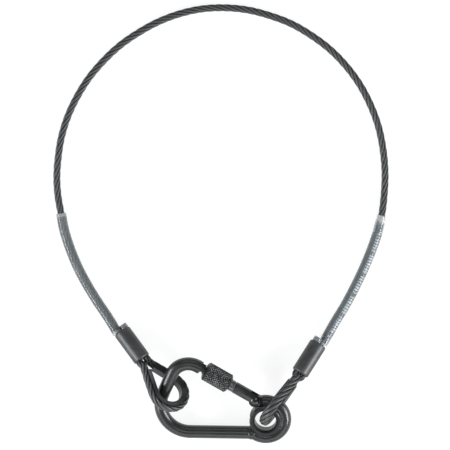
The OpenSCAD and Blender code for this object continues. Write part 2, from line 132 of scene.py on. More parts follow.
# black lacquer, and the ferrules' dull grey: faint orange peel, dusty patches and a few rubbed specks
def blackLacquer(name, look):
    material, tree, shader = newFinish(name)
    place = objectPlace(tree, look.get("stretch", (1, 1, 1)), look.get("turn", 0))
    cloud = speckle(tree, place, look["cloudScale"])
    rub = speckle(tree, place, look["rubScale"], detail=6.0, roughness=0.7)
    base = twoTone(tree, cloud, look["cloudSpan"], grey(look["dark"]), grey(look["light"]))
    rubbed = twoTone(tree, rub, (look["rubFrom"], look["rubFrom"] + look["rubOver"]), black, white)
    colour = mixColour(tree, rubbed, base, grey(look["bare"]))
    if "crest" in look:
        crest = addNode(tree, "ShaderNodeAttribute", attribute_name="crest").outputs["Fac"]
        patches = speckle(tree, place, look["patchScale"], detail=2.0)
        patch = twoTone(tree, patches, look["patchSpan"], look["patchLow"], white)
        patchy = addNode(tree, "ShaderNodeMath", {0: crest, 1: patch}, operation="MULTIPLY").outputs[0]
        worn = twoTone(tree, patchy, look["wornSpan"], black, white)
        colour = mixColour(tree, worn, colour, grey(look["crest"]))
    tree.links.new(colour, shader.inputs["Base Color"])
    tree.links.new(spread(tree, cloud, *look["gloss"]), shader.inputs["Roughness"])
    shader.inputs["Metallic"].default_value = look["metal"]
    shader.inputs["Specular IOR Level"].default_value = look.get("specular", 0.5)
    bumpFrom(tree, shader, speckle(tree, place, look["peelScale"], detail=3.0), look["peel"], peelHeight)
    return material


hookLook = {
    "dark": 0.009, "light": 0.016, "bare": 0.07, "cloudScale": 70, "cloudSpan": (0.3, 0.72),
    "rubScale": 900, "rubFrom": 0.7, "rubOver": 0.06, "gloss": (0.24, 0.34), "metal": 0.0,
    "peelScale": 1600, "peel": 0.08, "specular": 0.64,
}
bushLook = {**hookLook, "cloudScale": 110}
thimbleLook = {**hookLook, "dark": 0.014, "light": 0.026, "gloss": (0.3, 0.45), "rubFrom": 0.66}
nutLook = {
    **hookLook, "dark": 0.006, "light": 0.013, "gloss": (0.3, 0.4), "rubFrom": 0.64, "bare": 0.14,
    "crest": 0.24, "patchScale": 420, "patchSpan": (0.42, 0.6), "patchLow": (0.1, 0.1, 0.1),
    "wornSpan": (0.3, 0.9), "specular": 0.42,
}
gateLook = {**hookLook, "dark": 0.012, "light": 0.022, "rubFrom": 0.66}
ferruleLook = {
    "dark": 0.065, "light": 0.115, "bare": 0.2, "cloudScale": 160, "cloudSpan": (0.3, 0.72),
    "rubScale": 1100, "rubFrom": 0.68, "rubOver": 0.06, "gloss": (0.43, 0.53), "metal": 0.9,
    "peelScale": 2400, "peel": 0.18,
}
hookFinish = blackLacquer("hookLacquer", hookLook)
bushFinish = blackLacquer("bushLacquer", bushLook)
thimbleFinish = blackLacquer("thimbleLacquer", thimbleLook)
nutFinish = blackLacquer("nutLacquer", nutLook)
gateFinish = blackLacquer("gateLacquer", gateLook)
rivetLook = {**gateLook, "light": 0.04, "bare": 0.2, "rubFrom": 0.53, "metal": 0.5}
rivetFinish = blackLacquer("rivetLacquer", rivetLook)
drawnLook = {**ferruleLook, "stretch": (0.25, 1, 1)}  # clouds drawn out along each ferrule
leftFerruleFinish = blackLacquer("leftFerruleAnodised", {**drawnLook, "turn": 53})
rightFerruleFinish = blackLacquer("rightFerruleAnodised", {**drawnLook, "turn": -57})


# turned steel with a fine grain
def turnedSteel(name, look):
    material, tree, shader = newFinish(name)
    place = objectPlace(tree)
    cloud = speckle(tree, place, look["cloudScale"], detail=5.0)
    colour = twoTone(tree, cloud, look["cloudSpan"], grey(look["dark"]), grey(look["light"]))
    tree.links.new(colour, shader.inputs["Base Color"])
    tree.links.new(spread(tree, cloud, *look["gloss"]), shader.inputs["Roughness"])
    shader.inputs["Metallic"].default_value = 1
    bumpFrom(tree, shader, speckle(tree, place, look["grainScale"], detail=2.0), look["grain"], grainHeight)
    return material


steelLook = {
    "dark": 0.22, "light": 0.5, "cloudScale": 260, "cloudSpan": (0.3, 0.7), "gloss": (0.24, 0.42),
    "grainScale": 2600, "grain": 0.12,
}
steelFinish = turnedSteel("bareSteel", steelLook)
pinFinish = turnedSteel("blackenedPin", {**steelLook, "dark": 0.03, "light": 0.09})
threadFinish = turnedSteel("rubbedThread", {**steelLook, "dark": 0.16, "light": 0.46, "cloudScale": 420})


# rope wire: black coating, darkest deep in the furrows between the strands as painted shade, and rubbed grey
# on the crowns of the strands
def ropeWire(name, look):
    material, tree, shader = newFinish(name)
    place = objectPlace(tree)
    crown = addNode(tree, "ShaderNodeAttribute", attribute_name="crown").outputs["Fac"]
    cloud = speckle(tree, place, look["cloudScale"])
    mixed = addNode(tree, "ShaderNodeMath", {0: cloud, 1: look["cloudPart"]}, operation="MULTIPLY").outputs[0]
    level = addNode(tree, "ShaderNodeMath", {0: crown, 1: mixed}, operation="ADD").outputs[0]
    # tones run from painted shade deep in the furrows, through the coated sides, to rubbed grey on the crowns
    tones = [grey(look[part]) for part in ("furrow", "side", "crown")]
    colour = ramp(tree, level, list(zip(look["levels"], tones)))
    tree.links.new(colour, shader.inputs["Base Color"])
    tree.links.new(spread(tree, cloud, *look["gloss"]), shader.inputs["Roughness"])
    shader.inputs["Metallic"].default_value = look["metal"]
    bumpFrom(tree, shader, speckle(tree, place, look["grainScale"], detail=2.0), look["grain"], grainHeight)
    return material


# the furrow tone is painted shade in the recesses between the strands
ropeFinish = ropeWire("ropeWire", {
    "furrow": 0.002, "side": 0.016, "crown": 0.07, "levels": (0.64, 0.86, 1.0), "cloudScale": 300,
    "cloudPart": 0.12, "gloss": (0.36, 0.5), "metal": 0.3, "grainScale": 3000, "grain": 0.1,
})


# soft clear tube: slightly milky and scuffed, with a painted highlight that makes it near-white at its cut
# rims
def clearPlastic(name, look):
    material, tree, shader = newFinish(name)
    place = objectPlace(tree)
    rim = addNode(tree, "ShaderNodeAttribute", attribute_name="rim").outputs["Fac"]
    haze = speckle(tree, place, look["hazeScale"], detail=5.0)
    colour = twoTone(tree, haze, look["hazeSpan"], look["deep"], look["pale"])
    # painted highlight: near-white and less clear towards the cut rims
    tree.links.new(mixColour(tree, rim, colour, look["rimHighlightTone"]), shader.inputs["Base Color"])
    tree.links.new(spread(tree, haze, *look["gloss"]), shader.inputs["Roughness"])
    clear = spread(tree, rim, look["clear"], look["rimClear"], 0.0, 1.0)
    tree.links.new(clear, shader.inputs["Transmission Weight"])
    shader.inputs["IOR"].default_value = look["ior"]
    bumpFrom(tree, shader, speckle(tree, place, look["scuffScale"], detail=3.0), look["scuff"], peelHeight)
    return material


# the near-white rim tone is a painted highlight at the cut rims
sleeveLook = {
    "deep": (0.49, 0.54, 0.565), "pale": (0.58, 0.625, 0.645), "rimHighlightTone": (0.93, 0.94, 0.92),
    "hazeScale": 90, "hazeSpan": (0.35, 0.7), "gloss": (0.15, 0.2), "clear": 0.82, "rimClear": 0.72,
    "ior": 1.45, "scuffScale": 420, "scuff": 0.08,
}
sleeveFinish = clearPlastic("clearSleeve", sleeveLook)
capLook = {**sleeveLook, "clear": 0.62, "deep": (0.4, 0.44, 0.46), "pale": (0.48, 0.52, 0.54)}
capFinish = clearPlastic("tailCap", capLook)


# grey film of the marking sleeve, with nothing on it but a band of plain ticks
def labelFilm(name, look):
    material, tree, shader = newFinish(name)
    place = objectPlace(tree)

    def reckon(operation, first, second):
        return addNode(tree, "ShaderNodeMath", {0: first, 1: second}, operation=operation).outputs[0]

    cloud = speckle(tree, place, look["cloudScale"])
    base = twoTone(tree, cloud, look["cloudSpan"], look["deep"], look["pale"])
    along = addNode(tree, "ShaderNodeAttribute", attribute_name="along").outputs["Fac"]
    across = addNode(tree, "ShaderNodeAttribute", attribute_name="across").outputs["Fac"]
    step = reckon("FRACT", reckon("DIVIDE", along, look["tickStep"]), 0.0)
    group = reckon("FRACT", reckon("DIVIDE", along, look["groupStep"]), 0.0)
    inTick = reckon("LESS_THAN", step, look["tickPart"])
    inGroup = reckon("LESS_THAN", group, look["groupPart"])
    offBand = reckon("ABSOLUTE", reckon("SUBTRACT", across, look["bandAt"]), 0.0)
    inBand = reckon("LESS_THAN", offBand, look["bandHalf"])
    mark = reckon("MULTIPLY", reckon("MULTIPLY", inTick, inGroup), inBand)
    tree.links.new(mixColour(tree, mark, base, grey(look["tickTone"])), shader.inputs["Base Color"])
    tree.links.new(spread(tree, cloud, *look["gloss"]), shader.inputs["Roughness"])
    bumpFrom(tree, shader, speckle(tree, place, look["grainScale"], detail=2.0), look["grain"], grainHeight)
    return material


labelFinish = labelFilm("labelFilm", {
    "deep": (0.05, 0.058, 0.064), "pale": (0.075, 0.085, 0.092), "cloudScale": 180, "cloudSpan": (0.3, 0.7),
    "gloss": (0.4, 0.6), "grainScale": 2200, "grain": 0.1, "tickTone": 0.8, "tickStep": 1.7, "tickPart": 0.64,
    "groupStep": 13.6, "groupPart": 0.84, "bandAt": 36, "bandHalf": 36,
})
print("finishes made")


# in millimetres; the routes and the places of the ends are the CAD's
rope = {
    "r": 2.15, "lay": 29.7, "strands": 6, "strandR": 0.73, "wires": 6, "wireLay": 9, "wireDepth": 0.055,
    "step": 0.62, "coreR": 0.74, "flat": 1.05, "smooth": 70, "pathEvery": 4,
}
ringRoute = [
    (-98.2, 80), (-98.8, 90), (-98.2, 100.4), (-96.2, 113.8), (-92.3, 126.7), (-86.6, 138.8),
    (-79.4, 150.2), (-70.7, 160.4), (-60.8, 169.6), (-49.8, 177.2), (-37.9, 183.7), (-25.1, 188.5),
    (-11.8, 191.4), (1.9, 192.1), (15.7, 190.8), (29, 187.4), (41.9, 182.5), (53.8, 175.6),
    (64.9, 167.3), (74.6, 157.4), (82.8, 146.3), (89.3, 134), (94.1, 121), (96.9, 107.4),
    (98.1, 93.6), (97.6, 80),
]
leftSleeveRoute = [
    (-96.2, 68.7), (-94.2, 58.4), (-90.6, 47.2), (-86.2, 36.6),
    (-80.6, 26), (-74.6, 16.2), (-68.6, 7.4), (-64.1, 0.3),
]
rightSleeveRoute = [
    (96, 67.4), (93.3, 56.5), (89.6, 46), (85, 35),
    (79.6, 23.8), (73.8, 13), (67.8, 3.2), (62.4, -6.3),
]
leftEnd = {"at": (-47.2, -18.3, 8.4), "pitch": 9.2, "ferrule": (-53, -12), "eye": (-50, -40), "lift": 1.9}
rightEnd = {"at": (46.7, -26.6, 8.6), "pitch": 9.5, "ferrule": (237, 145), "eye": (232.5, 99), "lift": 0.5}
eye = {
    "ferruleL": 21, "tail": 2.4, "mouth": 1, "legY": 2.4, "legStart": 3.5, "reach": 25, "loopR": 10.7,
    "arcSteps": 20, "straightOut": 1.2, "swellFrom": -2, "swellOver": 8, "swellWide": 0.42, "swellOut": 0.25,
    "swellLow": 0.15, "swellRise": 0.9,
}
# the left sleeve's plastic fills the furrows between the strands, so its wall is thick
sleeve = {
    "r": 3.03, "leftWall": 1.6, "rightWall": 0.58, "liftFrom": 4, "step": 1.2, "rim": 0.09, "gap": 0.15,
    "aside": 0.45, "leftMouth": 1.0, "rightMouth": 3.8, "farMouth": 0.8, "mouthFade": 1.5,
}


def placedAt(end, part):
    heading, roll = (math.radians(a) for a in end[part])
    pitch = math.radians(end["pitch"])
    turn = Matrix.Rotation(heading, 4, "Z") @ Matrix.Rotation(-pitch, 4, "Y") @ Matrix.Rotation(roll, 4, "X")
    return Matrix.Translation(end["at"]) @ turn


def sleeveRoute(route, end):
    points = []
    for i, (x, y) in enumerate(route):
        u = max(0, i - sleeve["liftFrom"]) / (len(route) - 1 - sleeve["liftFrom"])
        points.append(Vector((x, y, sleeve["r"] + end["lift"] * u * u)))
    return points


# a sleeve ends close to its ferrule, pushed aside by the cut tail
def sleeveEnd(end):
    back, aside = -eye["ferruleL"] - sleeve["gap"], -eye["legY"] - sleeve["aside"]
    return placedAt(end, "ferrule") @ Vector((back, aside, 0))


def ropeOut(end):
    place = placedAt(end, "ferrule")
    xs = (-eye["ferruleL"] - eye["straightOut"], -eye["ferruleL"])
    return [place @ Vector((x, -eye["legY"], 0)) for x in xs]


def eyeRoute(end):
    span, legY, loopR = eye["reach"] - eye["legStart"], eye["legY"], eye["loopR"]
    legAngle = math.asin(loopR / math.hypot(span, legY)) - math.atan2(legY, span)
    legL = math.sqrt(span * span + legY * legY - loopR * loopR)
    inFerrule, inLoop = placedAt(end, "ferrule"), placedAt(end, "eye")
    xs = (-eye["ferruleL"], -eye["ferruleL"] / 2, 0, eye["mouth"])
    points = [inFerrule @ Vector((x, -legY, 0)) for x in xs]

    def leg(u, side):
        across = side * (legY + u * legL * math.sin(legAngle))
        return inLoop @ Vector((eye["legStart"] + u * legL * math.cos(legAngle), across, 0))

    points += [leg(0, -1), leg(0.5, -1)]
    for i in range(eye["arcSteps"] + 1):
        a = -math.pi / 2 - legAngle + (math.pi + 2 * legAngle) * i / eye["arcSteps"]
        points.append(inLoop @ Vector((eye["reach"] + loopR * math.cos(a), loopR * math.sin(a), 0)))
    points += [leg(0.5, 1), leg(0, 1)]
    tailXs = (eye["mouth"], 0, -eye["ferruleL"] / 2, -eye["ferruleL"] - eye["tail"])
    return points + [inFerrule @ Vector((x, legY, 0)) for x in tailXs]


# a smooth line through the points, in even steps
def smoothLine(points, step, parts=24):
    fine = []
    ends = [2 * points[0] - points[1]] + list(points) + [2 * points[-1] - points[-2]]
    for i in range(1, len(ends) - 2):
        p0, p1, p2, p3 = ends[i - 1:i + 3]
        k0, k1, k2 = ((b - a).length ** 0.5 for a, b in ((p0, p1), (p1, p2), (p2, p3)))
        m1 = ((p1 - p0) / k0 - (p2 - p0) / (k0 + k1) + (p2 - p1) / k1) * k1
        m2 = ((p2 - p1) / k1 - (p3 - p1) / (k1 + k2) + (p3 - p2) / k2) * k1
        for j in range(parts):
            t = j / parts
            h0, h1 = 2 * t ** 3 - 3 * t * t + 1, t ** 3 - 2 * t * t + t
            h2, h3 = 3 * t * t - 2 * t ** 3, t ** 3 - t * t
            fine.append(h0 * p1 + h1 * m1 + h2 * p2 + h3 * m2)
    fine.append(points[-1].copy())
    lengths = [0.0]
    for a, b in zip(fine, fine[1:]):
        lengths.append(lengths[-1] + (b - a).length)
    count = round(lengths[-1] / step)
    line, k = [], 0
    for i in range(count + 1):
        want = lengths[-1] * i / count
        while k < len(fine) - 2 and lengths[k + 1] < want:
            k += 1
        u = (want - lengths[k]) / max(lengths[k + 1] - lengths[k], 1e-9)
        line.append(fine[k].lerp(fine[k + 1], min(1, max(0, u))))
    return line, lengths[-1]


# where the rope bends round a thimble its outer strands swell over the flanges
def swell(end, at):
    inLoop = placedAt(end, "eye").inverted() @ at
    along = min(max(inLoop.x, 0), eye["reach"])
    outward = Vector((inLoop.x - along, inLoop.y, inLoop.z))
    outward = (placedAt(end, "eye").to_3x3() @ outward).normalized()
    grow = min(1, max(0, (inLoop.x - eye["swellFrom"]) / eye["swellOver"]))
    return outward, grow * grow * (3 - 2 * grow)


# six strands with their wires laid round a core; crown says how far out a point lies, which sets both the
# rubbed crowns and the painted shade of the furrows
def layRope(name, points, up, end=None):
    line, length = smoothLine(points, rope["step"])
    verts, faces, crowns = [], [], []
    count, sides = len(line), 2 * rope["wires"]  # a crest and a furrow for each wire
    centreR = rope["r"] - rope["strandR"]
    frames = []
    for i, at in enumerate(line):
        along = (line[min(i + 1, count - 1)] - line[max(i - 1, 0)]).normalized()
        across = along.cross(up).normalized()
        outward, grow = swell(end, at) if end else (across, 0)
        frames.append((at, across, along.cross(across), length * i / (count - 1), outward, grow))
    for k in range(rope["strands"] + 1):
        isCore = k == rope["strands"]
        base = len(verts)
        for at, across, over, s, outward, grow in frames:
            turn = 2 * math.pi * (s / rope["lay"] + k / rope["strands"])
            out = math.cos(turn) * across + math.sin(turn) * over
            side = math.cos(turn) * over - math.sin(turn) * across
            middle = at if isCore else at + centreR * out
            roll = -2 * math.pi * s * (1 / rope["lay"] + 1 / rope["wireLay"])
            for j in range(sides):
                a = roll + 2 * math.pi * j / sides
                wire = 1 + rope["wireDepth"] * (1 if j % 2 else -1)
                r = rope["coreR"] if isCore else rope["strandR"] * wire
                point = middle + r * (math.cos(a) * out + rope["flat"] * math.sin(a) * side)
                crowns.append(min(1.0, (point - at).length / rope["r"]))
                height = (point - at).dot(outward)
                wide = grow * min(1, max(0, (height + eye["swellLow"]) / eye["swellRise"]))
                point += over * (point - at).dot(over) * eye["swellWide"] * wide
                point += outward * eye["swellOut"] * wide
                verts.append(point * mm)
        for i in range(count - 1):
            for j in range(sides):
                a, b = base + i * sides + j, base + i * sides + (j + 1) % sides
                faces.append((a, b, b + sides, a + sides))
        last = base + (count - 1) * sides
        faces.append(tuple(range(base + sides - 1, base - 1, -1)))
        faces.append(tuple(range(last, last + sides)))
    mesh = bpy.data.meshes.new(name)
    mesh.from_pydata(verts, [], faces)
    mesh.attributes.new("crown", "FLOAT", "POINT").data.foreach_set("value", crowns)
    obj = bpy.data.objects.new(name, mesh)
    bpy.context.collection.objects.link(obj)
    bpy.context.view_layer.objects.active = obj
    obj.select_set(True)
    bpy.ops.object.shade_smooth_by_angle(angle=math.radians(rope["smooth"]))
    obj.select_set(False)
    mesh.materials.append(ropeFinish)
    return obj, line, length


freeRoute = ropeOut(leftEnd)[::-1] + sleeveRoute(leftSleeveRoute, leftEnd)[::-1]
freeRoute += [Vector((x, y, rope["r"])) for x, y in ringRoute]
freeRoute += sleeveRoute(rightSleeveRoute, rightEnd) + ropeOut(rightEnd)
ropePiece, ropeLine, ropeLength = layRope("cableRope", freeRoute, Vector((0, 0, 1)))
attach(ropePiece, "rope")
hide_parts("wire_rope")
for name, node, end in (
    ("leftEyeRope", "left_rope_eye", leftEnd), ("rightEyeRope", "right_rope_eye", rightEnd),
):
    up = placedAt(end, "eye").to_3x3() @ Vector((0, 0, 1))
    eyePiece, _, eyeLength = layRope(name, eyeRoute(end), up, end)
    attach(eyePiece, "rope")
    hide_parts(node)
    print(name, round(eyeLength, 1), "mm")
print("rope laid,", round(ropeLength, 1), "mm between the ferrules")


tube = {"bevelSteps": 6, "rimSteps": 2, "rimAngle": 60, "smooth": 50}


# a bent tube of even wall, with its cut ends rounded off
def sweptTube(name, points, outerR, wall, rim, material):
    line, _ = smoothLine(points, sleeve["step"])
    curve = bpy.data.curves.new(name, "CURVE")
    curve.dimensions = "3D"
    curve.twist_mode = "Z_UP"
    curve.bevel_depth = outerR * mm
    curve.bevel_resolution = tube["bevelSteps"]
    spline = curve.splines.new("POLY")
    spline.points.add(len(line) - 1)
    for point, at in zip(spline.points, line):
        point.co = (*(at * mm), 1)
    obj = bpy.data.objects.new(name, curve)
    bpy.context.collection.objects.link(obj)
    bpy.ops.object.select_all(action="DESELECT")
    obj.select_set(True)
    bpy.context.view_layer.objects.active = obj
    bpy.ops.object.convert(target="MESH")
    obj = bpy.context.object
    wallTool = obj.modifiers.new("wall", "SOLIDIFY")
    wallTool.thickness = wall * mm
    wallTool.offset = -1
    bpy.ops.object.modifier_apply(modifier="wall")
    rimTool = obj.modifiers.new("rim", "BEVEL")
    rimTool.width = rim * mm
    rimTool.segments = tube["rimSteps"]
    rimTool.limit_method = "ANGLE"
    rimTool.angle_limit = math.radians(tube["rimAngle"])
    bpy.ops.object.modifier_apply(modifier="rim")
    bpy.ops.object.shade_smooth_by_angle(angle=math.radians(tube["smooth"]))
    obj.data.materials.clear()
    obj.data.materials.append(material)
    obj.select_set(False)
    return obj, line


# how near a point of a sleeve is to its cut rims, from 1 at the rim to 0; this masks the painted highlight at
# the rims
def markRims(obj, line, mouthL, farL):
    nearness, fade = [], sleeve["mouthFade"]
    for v in obj.data.vertices:
        mouth, far = (v.co / mm - line[0]).length, (v.co / mm - line[-1]).length
        mouth, far = max(0, mouth - sleeve["r"]), max(0, far - sleeve["r"])
        nearness.append(max(0, min(1, fade - fade * mouth / mouthL), min(1, fade - fade * far / farL)))
    obj.data.attributes.new("rim", "FLOAT", "POINT").data.foreach_set("value", nearness)


for name, node, route, end, side in (
    ("leftSleeve", "left_clear_tube", leftSleeveRoute, leftEnd, "left"),
    ("rightSleeve", "right_clear_tube", rightSleeveRoute, rightEnd, "right"),
):
    points = sleeveRoute(route, end) + [sleeveEnd(end)]
    wall, mouthL = sleeve[side + "Wall"], sleeve[side + "Mouth"]
    piece, sleeveLine = sweptTube(name, points, sleeve["r"], wall, sleeve["rim"], sleeveFinish)
    markRims(piece, sleeveLine, mouthL, sleeve["farMouth"])
    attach(piece, "rope")
    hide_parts(node)


def nearest(line, at):
    return min(range(len(line)), key=lambda k: (line[k] - at).length_squared)


# the film lies in the right sleeve, from a little inside its mouth to near the ferrule
labelSize = {"r": 2.53, "wall": 0.25, "rim": 0.05, "routePoints": (1, -1)}
rightPoints = sleeveRoute(rightSleeveRoute, rightEnd)
labelEnds = [nearest(sleeveLine, rightPoints[i]) for i in labelSize["routePoints"]]
labelPiece, labelLine = sweptTube(
    "markingFilm", sleeveLine[labelEnds[0]:labelEnds[1]], labelSize["r"], labelSize["wall"],
    labelSize["rim"], labelFinish,
)
# places on the label: millimetres along it, and degrees down from its top towards the outside
labelLength = sum((b - a).length for a, b in zip(labelLine, labelLine[1:]))
alongs, acrosses = [], []
for v in labelPiece.data.vertices:
    at = v.co / mm
    i = nearest(labelLine, at)
    forward = (labelLine[min(i + 1, len(labelLine) - 1)] - labelLine[max(i - 1, 0)]).normalized()
    outward = Vector((-forward.y, forward.x, 0)).normalized()
    offset = at - labelLine[i]
    alongs.append(labelLength * i / (len(labelLine) - 1) + offset.dot(forward))
    acrosses.append(math.degrees(math.atan2(offset.dot(outward), offset.z)))
labelPiece.data.attributes.new("along", "FLOAT", "POINT").data.foreach_set("value", alongs)
labelPiece.data.attributes.new("across", "FLOAT", "POINT").data.foreach_set("value", acrosses)
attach(labelPiece, "rope")
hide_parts("marking_label")

# a clear cap over each cut tail
tailCap = {"r": 2.55, "wall": 0.42, "rim": 0.1, "over": 0.45, "off": 0.1}
for name, end in (("leftTailCap", leftEnd), ("rightTailCap", rightEnd)):
    place = placedAt(end, "ferrule")
    xs = (-eye["ferruleL"] - tailCap["off"], -eye["ferruleL"] - eye["tail"] - tailCap["over"])
    points = [place @ Vector((x, eye["legY"], 0)) for x in xs]
    piece, _ = sweptTube(name, points, tailCap["r"], tailCap["wall"], tailCap["rim"], capFinish)
    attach(piece, "rope")
print("sleeves made")

# the gate's pieces are made at its hinge, with X along the gate and Z along the rivet
joints = {joint["name"]: joint for joint in frame["record"]["behaviour"]["joints"]}
gateWay = Vector(joints["nut_travel"]["axis"]).normalized()
rivetWay = Vector(joints["gate_hinge"]["axis"]).normalized()
gateMatrix = Matrix((gateWay, rivetWay.cross(gateWay), rivetWay)).transposed().to_4x4()
gateMatrix.translation = Vector(joints["gate_hinge"]["pos_m"]) / mm
alongGate = Matrix.Rotation(math.radians(90), 4, "Y")  # turned pieces are made along Z
shrink = Matrix.Scale(mm, 4)
lathe = {"weld": 0.0005, "smooth": 35}


def startEdit(obj):
    bpy.context.view_layer.objects.active = obj
    bpy.ops.object.mode_set(mode="EDIT")
    bpy.ops.mesh.select_all(action="SELECT")


# edit mode with only the points that pass the test selected
def pickPoints(obj, test):
    startEdit(obj)
    bpy.ops.mesh.select_mode(type="VERT")
    bpy.ops.mesh.select_all(action="DESELECT")
    bpy.ops.object.mode_set(mode="OBJECT")
    for v in obj.data.vertices:
        v.select = test(v.co)
    bpy.ops.object.mode_set(mode="EDIT")


# a ring drawn out step by step: (along, radius) pairs, in millimetres along Z
def turnedPiece(name, sides, profile):
    bpy.ops.object.select_all(action="DESELECT")
    along, r = profile[0]
    bpy.ops.mesh.primitive_circle_add(vertices=sides, radius=r, location=(0, 0, 0))
    obj = bpy.context.object
    obj.name = obj.data.name = name
    startEdit(obj)
    bpy.ops.transform.translate(value=(0, 0, along))
    for nextAlong, nextR in profile[1:]:
        bpy.ops.mesh.extrude_region_move(TRANSFORM_OT_translate={"value": (0, 0, nextAlong - along)})
        if nextR != r:
            bpy.ops.transform.resize(value=(nextR / r, nextR / r, 1), center_override=(0, 0, nextAlong))
        along, r = nextAlong, nextR
    bpy.ops.object.mode_set(mode="OBJECT")
    return obj


def closeShell(obj):
    startEdit(obj)
    bpy.ops.mesh.remove_doubles(threshold=lathe["weld"])
    bpy.ops.mesh.fill_holes(sides=0)
    bpy.ops.mesh.select_all(action="SELECT")
    bpy.ops.mesh.normals_make_consistent(inside=False)
    bpy.ops.object.mode_set(mode="OBJECT")


def applyTool(obj, kind, **settings):
    tool = obj.modifiers.new("tool", kind)
    for key, value in settings.items():
        setattr(tool, key, value)
    bpy.context.view_layer.objects.active = obj
    bpy.ops.object.modifier_apply(modifier="tool")


def cutWith(obj, cutter, operation):
    applyTool(obj, "BOOLEAN", operation=operation, solver="EXACT", object=cutter)
    bpy.data.objects.remove(cutter)


def setPiece(obj, place, material, body, slot, *nodes):
    obj.data.transform(shrink @ place)
    obj.data.update()
    obj.data.materials.clear()
    obj.data.materials.append(material)
    bpy.ops.object.select_all(action="DESELECT")
    obj.select_set(True)
    bpy.context.view_layer.objects.active = obj
    bpy.ops.object.shade_smooth_by_angle(angle=math.radians(lathe["smooth"]))
    obj.select_set(False)
    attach(obj, body)
    if nodes:
        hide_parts(*nodes)


# lengths along the gate, from its hinge to the tip of its blade
gate = {
    "l": 37.7745, "bladeL": 2.55, "bladeIn": 0.825, "bladeT": 2.0, "bladeW": 3.8, "tipL": 1.0, "tipR": 3.0,
    "threadL": 19.4, "coreR": 3.12, "shankR": 3.5, "shankFrom": -4.2, "edge": 0.3, "sides": 64,
    "footR": 3.65, "flat": 3.285, "slotT": 3.4, "slotTo": 4.7, "cut": 12, "bevel": 0.16, "bevelAngle": 50,
    "bladeBevel": 0.2, "middleSlack": 0.001,
}
tipTo = gate["l"] - gate["bladeL"]
threadTo = tipTo - gate["tipL"]
threadFrom = threadTo - gate["threadL"]

# knurled nut: every second point of the grid is pressed in, which leaves diamonds
nut = {
    "onThread": 3.6, "l": 16.4, "r": 5.9, "boreR": 3.72, "chamfer": 0.9, "mouth": 0.35, "band": 0.45,
    "columns": 40, "rows": 16, "depth": 0.5, "faceEdge": 0.15, "faceLift": 0.06, "rowSlack": 0.2,
    "rSlack": 0.05,
}
nutBack = threadFrom + nut["onThread"]
knurlFrom, knurlTo = nut["chamfer"] + nut["band"], nut["l"] - nut["chamfer"] - nut["band"]
faceR = nut["r"] - nut["chamfer"]
nutEnd = [
    (nut["mouth"], nut["boreR"]), (0, nut["boreR"] + nut["mouth"]), (0, faceR - nut["faceEdge"]),
    (nut["faceLift"], faceR), (nut["chamfer"], nut["r"]),
]
knurlL = knurlTo - knurlFrom
nutProfile = nutEnd + [(knurlFrom + knurlL * i / nut["rows"], nut["r"]) for i in range(nut["rows"] + 1)]
nutProfile += [(nut["l"] - along, r) for along, r in nutEnd[::-1]] + [nutEnd[0]]
nutPiece = turnedPiece("knurledNut", nut["columns"], nutProfile)


# the knurl's rows and columns, numbered together: even points stand, odd ones are pressed in
def knurlPoint(co):
    row = (co.z - knurlFrom) / knurlL * nut["rows"]
    column = round(math.atan2(co.y, co.x) / (2 * math.pi) * nut["columns"])
    inRows = -nut["rowSlack"] < row < nut["rows"] + nut["rowSlack"]
    onKnurl = inRows and math.hypot(co.x, co.y) > nut["r"] - nut["rSlack"]
    return row + column if onKnurl else None


def isPressed(co):
    number = knurlPoint(co)
    return number is not None and round(number) % 2 == 1


crests = [float(knurlPoint(v.co) is not None and not isPressed(v.co)) for v in nutPiece.data.vertices]
nutPiece.data.attributes.new("crest", "FLOAT", "POINT").data.foreach_set("value", crests)
pickPoints(nutPiece, isPressed)
pressTo = 1 - nut["depth"] / nut["r"]
bpy.ops.transform.resize(value=(pressTo, pressTo, 1), center_override=(0, 0, 0))
bpy.ops.object.mode_set(mode="OBJECT")
closeShell(nutPiece)
startEdit(nutPiece)
bpy.ops.mesh.quads_convert_to_tris(quad_method="SHORTEST_DIAGONAL")
bpy.ops.object.mode_set(mode="OBJECT")
nutPlace = gateMatrix @ Matrix.Translation((nutBack, 0, 0)) @ alongGate
setPiece(nutPiece, nutPlace, nutFinish, "nut", "nut_steel", "lock_nut")
print("nut knurled,", len(nutPiece.data.polygons), "faces")

# gate: turned shank with a forked foot, and a blade at the tip
edge = gate["edge"]
gatePiece = turnedPiece("gateShank", gate["sides"], [
    (gate["shankFrom"], gate["shankR"]), (threadFrom - edge, gate["shankR"]),
    (threadFrom, gate["shankR"] - edge), (threadFrom + edge / 2, gate["coreR"]),
    (threadTo - edge, gate["coreR"]), (threadTo, gate["tipR"]),
    (tipTo - edge, gate["tipR"]), (tipTo, gate["tipR"] - edge),
])
closeShell(gatePiece)
gatePiece.data.transform(alongGate)
# rounded foot: a tall post, one side drawn out along the gate
bpy.ops.mesh.primitive_cylinder_add(vertices=gate["sides"], radius=gate["footR"], depth=2 * gate["flat"])
foot = bpy.context.object
pickPoints(foot, lambda co: co.x > gate["middleSlack"])
bpy.ops.transform.translate(value=(gate["l"], 0, 0))
bpy.ops.object.mode_set(mode="OBJECT")
cutWith(gatePiece, foot, "INTERSECT")
bpy.ops.mesh.primitive_cube_add(size=1, location=(gate["slotTo"] - gate["cut"] / 2, 0, 0))
slotCutter = bpy.context.object
slotCutter.scale = (gate["cut"], gate["cut"], gate["slotT"])
bpy.ops.object.transform_apply(location=True, rotation=False, scale=True)
cutWith(gatePiece, slotCutter, "DIFFERENCE")
applyTool(
    gatePiece, "BEVEL", width=gate["bevel"], segments=2, limit_method="ANGLE",
    angle_limit=math.radians(gate["bevelAngle"]),
)
bladeL = gate["bladeL"] + gate["bladeIn"]
bpy.ops.mesh.primitive_cube_add(size=1, location=(gate["l"] - bladeL / 2, 0, 0))
blade = bpy.context.object
